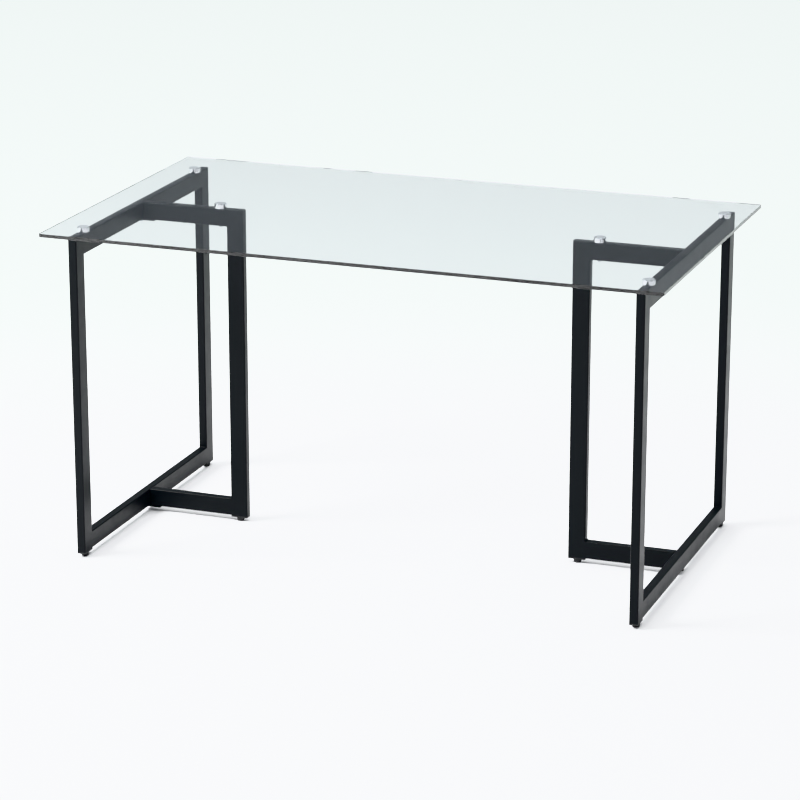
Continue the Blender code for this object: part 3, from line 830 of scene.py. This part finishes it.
class DESK_OT_end_frames(bpy.types.Operator):
    """Closed end frame of each trestle: two uprights mitred to a top rail, and a bottom rail between them"""

    bl_idname = "desk.end_frames"
    bl_label = "End Frames"

    def execute(self, context):
        steel = named_material(black_powder_coated_steel)
        depth = -2 * FRAME_FRONT
        middle = depth / 2
        upright_y = middle - TUBE_WIDE / 2
        along_y = Matrix.Rotation(-math.pi / 2, 4, "X")
        post = make_tube("post", RAIL_TOP - RAIL_BASE, mitre_end=True)
        bits = [nut_bit(middle), screw_bit(middle + STANDOFF_Y), screw_bit(middle - STANDOFF_Y)]
        rail = make_tube("rail", depth, mitre_start=True, mitre_end=True, bits=bits)
        # The sill's weld is ground flush, so it runs on to where the uprights' rounded corners end.
        flush = TUBE_WIDE - context.scene.desk_sizes.tube_corner
        sill = make_tube("sill", depth - 2 * flush, bits=[nut_bit(middle - flush)])
        for side in SIDES:
            pieces = (
                (NEAR[side] + "_upright", post, (RAIL_X, -upright_y, RAIL_BASE), None),
                (FAR[side] + "_upright", post, (RAIL_X, upright_y, RAIL_BASE), HALF_TURN),
                ("end_top_rail", rail, (RAIL_X, -middle, RAIL_TOP - TUBE_WIDE / 2), along_y),
                ("end_bottom_rail", sill, (RAIL_X, flush - middle, RAIL_BASE + TUBE_WIDE / 2), along_y),
            )
            for node, model, place, turn in pieces:
                tube = stamp(model, f"{side}_{node}_tube", on_trestle(side, place, turn))
                settle(tube, steel, "black_powder_coat", f"{side}_{node}")
        put_away(post, rail, sill)
        return {"FINISHED"}


class DESK_OT_inner_frames(bpy.types.Operator):
    """C-shaped inner frame of each trestle: a post mitred to a top arm, and a bottom arm against the post"""

    bl_idname = "desk.inner_frames"
    bl_label = "Inner Frames"

    def execute(self, context):
        steel = named_material(black_powder_coated_steel)
        quarter_turn = Matrix.Rotation(-math.pi / 2, 4, "Z")
        along_x = quarter_turn @ Matrix.Rotation(-math.pi / 2, 4, "X")
        post = make_tube("post", RAIL_TOP - RAIL_BASE, mitre_end=True)
        hole = screw_bit(STANDOFF_X - INNER_FACE)
        top = make_tube("top", ARM_END - INNER_FACE, mitre_start=True, bits=[hole])
        flush = TUBE_WIDE - context.scene.desk_sizes.tube_corner
        bottom = make_tube("bottom", ARM_END - INNER_FACE - flush)
        pieces = (
            ("inner_post", post, (INNER_FACE + TUBE_WIDE / 2, 0, RAIL_BASE), quarter_turn),
            ("arm_top", top, (INNER_FACE, 0, RAIL_TOP - TUBE_WIDE / 2), along_x),
            ("arm_bottom", bottom, (INNER_FACE + flush, 0, RAIL_BASE + TUBE_WIDE / 2), along_x),
        )
        for side in SIDES:
            for node, model, place, turn in pieces:
                tube = stamp(model, f"{side}_{node}_tube", on_trestle(side, place, turn))
                settle(tube, steel, "black_powder_coat", f"{side}_{node}")
        put_away(post, top, bottom)
        return {"FINISHED"}


class DESK_OT_weld_beads(bpy.types.Operator):
    """Coated fillet welds in the inside corners of the end frames and the inner frames"""

    bl_idname = "desk.weld_beads"
    bl_label = "Weld Beads"

    def execute(self, context):
        steel = named_material(black_powder_coated_steel)
        run = TUBE_NARROW - 2 * context.scene.desk_sizes.tube_corner
        centred = Matrix.Translation((0, 0, -run / 2))
        along_x = Matrix.Rotation(math.pi / 2, 4, "Y") @ centred
        along_y = Matrix.Rotation(-math.pi / 2, 4, "X") @ centred
        corner_y = -FRAME_FRONT - TUBE_WIDE
        bead = make_bead("bead", run)
        for side in SIDES:
            for level, height in (("upper", RAIL_TOP - TUBE_WIDE), ("lower", RAIL_BASE + TUBE_WIDE)):
                corners = (
                    (NEAR[side], (RAIL_X, -corner_y, height), along_x),
                    (FAR[side], (RAIL_X, corner_y, height), along_x),
                    ("inner", (INNER_FACE + TUBE_WIDE, 0, height), along_y),
                )
                for corner, place, turn in corners:
                    weld = stamp(bead, f"{side}_{corner}_{level}_weld", on_trestle(side, place, turn))
                    settle(weld, steel, "black_powder_coat")
        put_away(bead)
        return {"FINISHED"}


class DESK_OT_joining_tabs(bpy.types.Operator):
    """Steel tabs welded under the arms, for screwing the arms to the end rails"""

    bl_idname = "desk.joining_tabs"
    bl_label = "Joining Tabs"

    def execute(self, context):
        steel = named_material(black_powder_coated_steel)
        for level, underside in (("upper", RAIL_TOP - TUBE_WIDE), ("lower", RAIL_BASE)):
            low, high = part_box(f"right_{level}_joint_tab")
            high.z = underside - TOUCH
            tab = make_tab("tab", low, high)
            for side in SIDES:
                node = f"{side}_{level}_joint_tab"
                plate = stamp(tab, node + "_plate", on_trestle(side, (0, 0, 0)))
                settle(plate, steel, "black_powder_coat", node)
            put_away(tab)
        return {"FINISHED"}


class DESK_OT_standoffs(bpy.types.Operator):
    """Six chromed discs between the top rails and the glass, with the films that bond them to it"""

    bl_idname = "desk.standoffs"
    bl_label = "Standoffs"

    def execute(self, context):
        low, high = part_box("right_front_standoff")
        film_low, film_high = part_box("right_front_standoff_bond")
        screw_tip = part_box("right_front_standoff_screw")[1].z
        base = RAIL_TOP + TOUCH
        film_base = film_low.z
        hole = context.scene.desk_sizes.screw_size / 2 + CLEARANCE
        disc = make_disc("disc", (high.x - low.x) / 2, film_base - TOUCH - base, hole,
                         screw_tip + CLEARANCE - base)
        film = make_film("film", (film_high.x - film_low.x) / 2, TOP_LOW.z - TOUCH - film_base)
        for side in SIDES:
            for where in ("front", "back", "inner"):
                node = f"{side}_{where}_standoff"
                bond = node + "_bond"
                place_at(disc, node + "_disc", base, polished_chrome, "polished_chrome", node)
                place_at(film, node + "_film", film_base, cured_acrylic_film, "bonding_film", bond)
        put_away(disc, film)
        return {"FINISHED"}


class DESK_OT_screws(bpy.types.Operator):
    """Button-head screws that hold the standoffs and the joining tabs, and the rivet nuts' finish"""

    bl_idname = "desk.screws"
    bl_label = "Screws and Nuts"

    def execute(self, context):
        kinds = (
            ("standoff_screw", ("front", "back", "inner"), RAIL_TOP - TUBE_WIDE),
            ("joint_screw", ("upper", "lower"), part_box("right_upper_joint_tab")[0].z),
        )
        for kind, places, underside in kinds:
            low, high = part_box(f"right_{places[0]}_{kind}")
            seat = underside - TOUCH
            screw = make_screw(kind, high.z - seat, (high.x - low.x) / 2, seat - low.z)
            for side in SIDES:
                for where in places:
                    node = f"{side}_{where}_{kind}"
                    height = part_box(node)[0].z + seat - low.z
                    place_at(screw, node + "_threaded", height, passivated_zinc, "zinc_plate", node)
            put_away(screw)
        for side in SIDES:
            for level in ("upper", "lower"):
                nut = frame["nodes"][f"{side}_{level}_joint_nut"]
                nut.data.materials.clear()
                nut.data.materials.append(named_material(passivated_zinc))
        return {"FINISHED"}


class DESK_OT_end_plugs(bpy.types.Operator):
    """Moulded plug with gripping fins in the foot of each post"""

    bl_idname = "desk.end_plugs"
    bl_label = "End Plugs"

    def execute(self, context):
        low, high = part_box("right_front_upright_plug")
        base = RAIL_BASE - TOUCH
        plug = make_plug("plug", base - low.z, high.z - base)
        quarter_turn = Matrix.Rotation(math.pi / 2, 4, "Z")
        for side in SIDES:
            for post in POSTS:
                node = f"{side}_{post}_plug"
                turn = quarter_turn if post == "inner_post" else Matrix.Identity(4)
                place_at(plug, node + "_moulding", base, black_polypropylene, "plug_plastic", node, turn)
        put_away(plug)
        return {"FINISHED"}


class DESK_OT_levelling_feet(bpy.types.Operator):
    """Levelling foot under each post: a moulded pad on a threaded stud"""

    bl_idname = "desk.levelling_feet"
    bl_label = "Levelling Feet"

    def execute(self, context):
        low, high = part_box("right_front_upright_foot")
        pad_top = context.scene.desk_sizes.foot_height
        foot = make_foot("foot", (high.x - low.x) / 2, pad_top, high.z)
        for side in SIDES:
            for post in POSTS:
                node = f"{side}_{post}_foot"
                place_at(foot, node + "_glide", low.z, black_nylon, "foot_nylon", node)
        put_away(foot)
        return {"FINISHED"}


class DESK_OT_studio(bpy.types.Operator):
    """Plain pale floor, soft lights, a studio round them and the camera"""

    bl_idname = "desk.studio"
    bl_label = "Studio"

    def execute(self, context):
        studio = context.scene.desk_studio
        bpy.ops.object.select_all(action="DESELECT")
        bpy.ops.mesh.primitive_circle_add(vertices=FLOOR_FACETS, radius=FLOOR_RADIUS, fill_type="NGON")
        floor = name_new("studio_floor")
        floor.data.materials.append(named_material(painted_studio_floor))
        add_softbox("key_softbox", KEY_PLACE, KEY_WIDTH, studio.key_power)
        add_softbox("overhead_panel", OVERHEAD_PLACE, OVERHEAD_WIDTH, studio.top_power)
        light_studio(context.scene, studio)
        bpy.ops.object.camera_add(location=studio.camera_place,
                                  rotation=(math.pi / 2 - studio.camera_dip, 0, studio.camera_turn))
        camera = context.object
        camera.name = camera.data.name = "camera"
        camera.data.sensor_width = SENSOR_WIDTH
        camera.data.lens = studio.camera_lens
        camera.data.clip_end = SIGHT
        context.scene.camera = camera
        context.scene.view_settings.view_transform = "Khronos PBR Neutral"
        return {"FINISHED"}


def add_softbox(name, place, width, power):
    """A square area light that faces the middle of the desk."""
    aim = Vector((0, 0, TOP_HIGH.z / 2)) - Vector(place)
    turn = aim.to_track_quat("-Z", "Y").to_euler()
    bpy.ops.object.light_add(type="AREA", location=place, rotation=turn)
    lamp = bpy.context.object
    lamp.name = lamp.data.name = name
    lamp.data.shape = "SQUARE"
    lamp.data.size = width
    lamp.data.energy = power


def light_studio(scene, studio):
    """The room round the desk: a pale cove at the horizon, an unlit wall above it, a white ceiling."""
    scene.world = bpy.data.worlds.new("studio")
    scene.world.use_nodes = True
    tree = scene.world.node_tree
    place = add(tree, "ShaderNodeTexCoord")
    height = add(tree, "ShaderNodeSeparateXYZ", None, {0: place.outputs["Generated"]})
    rising = {"Value": height.outputs["Z"]}
    ceiling = add(tree, "ShaderNodeMapRange", {"From Min": CEILING_BASE, "From Max": CEILING_EDGE},
                  rising, interpolation_type="SMOOTHSTEP")
    cove = add(tree, "ShaderNodeMapRange",
               {"From Min": COVE_BASE, "From Max": COVE_EDGE, "To Min": 1.0, "To Max": 0.0}, rising,
               interpolation_type="SMOOTHSTEP")
    white = (studio.sky, studio.sky, studio.sky, 1)
    wall = tuple(studio.walls * channel for channel in studio.wall_tint)
    upper = add(tree, "ShaderNodeMix", {6: (*wall, 1), 7: white}, {0: ceiling.outputs["Result"]},
                data_type="RGBA")
    skirt = tuple(studio.cove * channel for channel in studio.cove_tint)
    room = add(tree, "ShaderNodeMix", {7: (*skirt, 1)},
               {0: cove.outputs["Result"], 6: upper.outputs[2]}, data_type="RGBA")
    tree.links.new(room.outputs[2], tree.nodes["Background"].inputs["Color"])


# ---------------------------------------------------------------- panel and run


OPERATORS = (
    DESK_OT_glass_top,
    DESK_OT_end_frames,
    DESK_OT_inner_frames,
    DESK_OT_weld_beads,
    DESK_OT_joining_tabs,
    DESK_OT_standoffs,
    DESK_OT_screws,
    DESK_OT_end_plugs,
    DESK_OT_levelling_feet,
    DESK_OT_studio,
)


class DESK_PT_panel(bpy.types.Panel):
    """Lists the desk's pieces, sizes and finishes"""

    bl_idname = "DESK_PT_panel"
    bl_label = "Glass Desk"
    bl_space_type = "VIEW_3D"
    bl_region_type = "UI"
    bl_category = "Desk"

    def draw(self, context):
        scene = context.scene
        pieces = self.layout.column(align=True)
        for operator in OPERATORS:
            pieces.operator(operator.bl_idname)
        for title, group in (("Sizes", scene.desk_sizes), ("Finishes", scene.desk_finishes),
                             ("Studio", scene.desk_studio)):
            box = self.layout.box()
            box.label(text=title)
            for name in group.bl_rna.properties.keys():
                if name not in {"rna_type", "name"}:
                    box.prop(group, name)


CLASSES = (DeskSizes, DeskFinishes, DeskStudio, *OPERATORS, DESK_PT_panel)


def register():
    for cls in CLASSES:
        bpy.utils.register_class(cls)
    bpy.types.Scene.desk_sizes = PointerProperty(type=DeskSizes)
    bpy.types.Scene.desk_finishes = PointerProperty(type=DeskFinishes)
    bpy.types.Scene.desk_studio = PointerProperty(type=DeskStudio)


def unregister():
    for name in ("desk_sizes", "desk_finishes", "desk_studio"):
        delattr(bpy.types.Scene, name)
    for cls in reversed(CLASSES):
        bpy.utils.unregister_class(cls)


def main():
    register()
    for operator in OPERATORS:
        category, name = operator.bl_idname.split(".")
        getattr(getattr(bpy.ops, category), name)()


if __name__ == "__main__":
    main()
